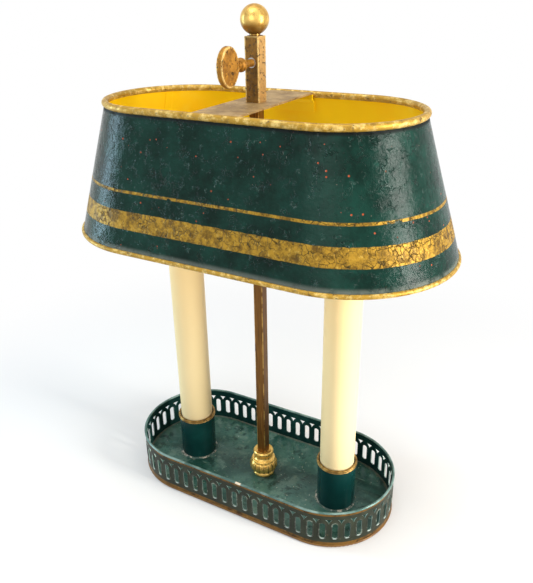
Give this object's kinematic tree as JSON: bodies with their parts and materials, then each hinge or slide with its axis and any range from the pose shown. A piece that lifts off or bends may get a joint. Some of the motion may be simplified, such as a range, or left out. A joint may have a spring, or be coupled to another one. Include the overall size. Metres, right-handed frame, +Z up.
{
  "type": "bouillotte lamp",
  "caption": "Table lamp with a weighted pierced tin tray, candle lights in cups, and an oval painted tin shade that slides on a square brass rod and is clamped there by a key.",
  "frame": {"origin": "on the table, under the axis of the square rod, in the middle of the tray", "axes": "+X along the tray and the shade, towards the right candle; +Y to the back, away from the key; +Z up along the rod"},
  "size_m": [0.3426, 0.181, 0.45],
  "materials": {
    "felt": "dark green wool felt",
    "cast_iron": "grey cast iron",
    "green_tole": "worn glossy teal green paint on tin sheet",
    "gallery_tole": "dark green paint with bronze wear on pierced tin",
    "gallery_edge": "rubbed bead, teal and gilt paint",
    "cup_tole": "smooth very dark green gloss paint",
    "gilt_ring": "antique gilt",
    "candle_sleeve": "cream satin candle sleeve",
    "polished_brass": "polished brass",
    "aged_brass": "brown aged brass",
    "gilt_bronze": "rough gilt bronze",
    "key_bronze": "hammered gilt bronze",
    "shade_tole": "crackled dark green gloss outside, orange-yellow inside, gilt bands",
    "shade_gilt": "gilt bead with dark chips",
    "bridge_metal": "dull bronze-brown strip",
    "zinc_steel": "zinc plated steel",
    "socket_shell_metal": "bare socket brass",
    "holder_body": "dark moulded lampholder",
    "bulb_cap_metal": "bright bulb cap",
    "bulb_glass": "clear bulb glass",
    "filament_wire": "bulb wires and stem",
    "lead_cover": "gold-brown insulated lead"
  },
  "bodies": {
    "base": {"felt_pad": "felt", "ballast_plate": "cast_iron", "tray_floor": "green_tole", "gallery_wall": "gallery_tole", "gallery_rim_bead": "gallery_edge", "gallery_foot_bead": "gallery_edge", "cord_inlet_bush": "gilt_ring", "stem_rod": "aged_brass", "stem_boss": "polished_brass", "stem_washer": "zinc_steel", "stem_nut": "zinc_steel", "ball_finial": "polished_brass", "finial_stud": "zinc_steel", "candle_cup_left": "cup_tole", "cup_rim_left": "gilt_ring", "candle_tube_left": "candle_sleeve", "riser_pipe_left": "zinc_steel", "riser_nut_left": "zinc_steel", "cup_nut_left": "zinc_steel", "lampholder_left": "holder_body", "screw_shell_left": "socket_shell_metal", "centre_contact_left": "socket_shell_metal", "bulb_cap_left": "bulb_cap_metal", "bulb_glass_left": "bulb_glass", "bulb_filament_left": "filament_wire", "supply_lead_left": "lead_cover", "candle_cup_right": "cup_tole", "cup_rim_right": "gilt_ring", "candle_tube_right": "candle_sleeve", "riser_pipe_right": "zinc_steel", "riser_nut_right": "zinc_steel", "cup_nut_right": "zinc_steel", "lampholder_right": "holder_body", "screw_shell_right": "socket_shell_metal", "centre_contact_right": "socket_shell_metal", "bulb_cap_right": "bulb_cap_metal", "bulb_glass_right": "bulb_glass", "bulb_filament_right": "filament_wire", "supply_lead_right": "lead_cover"},
    "shade": {"shade_shell": "shade_tole", "shade_top_bead": "shade_gilt", "shade_bottom_bead": "shade_gilt", "shade_bridge": "bridge_metal", "shade_sleeve": "gilt_bronze", "sleeve_bush": "zinc_steel"},
    "screw_tip": {"tip_pad": "polished_brass"},
    "key": {"key_screw": "key_bronze", "key_paddle": "key_bronze"}
  },
  "joints": [
    {"name": "shade_slide", "type": "slide", "parent": "base", "child": "shade", "axis": [0, 0, 1], "range_m": [-0.26, 0]},
    {"name": "tip_travel", "type": "slide", "parent": "shade", "child": "screw_tip", "axis": [0, -1, 0], "range_m": [0, 0.0015]},
    {"name": "key_turn", "type": "hinge", "parent": "screw_tip", "child": "key", "pos_m": [0, -0.043, 0.4085], "axis": [0, -1, 0], "range_deg": [0, 540]}
  ],
  "couplings": [
    {"joint": "key_turn", "follows": "tip_travel", "rad_per_m": 6283.2}
  ]
}
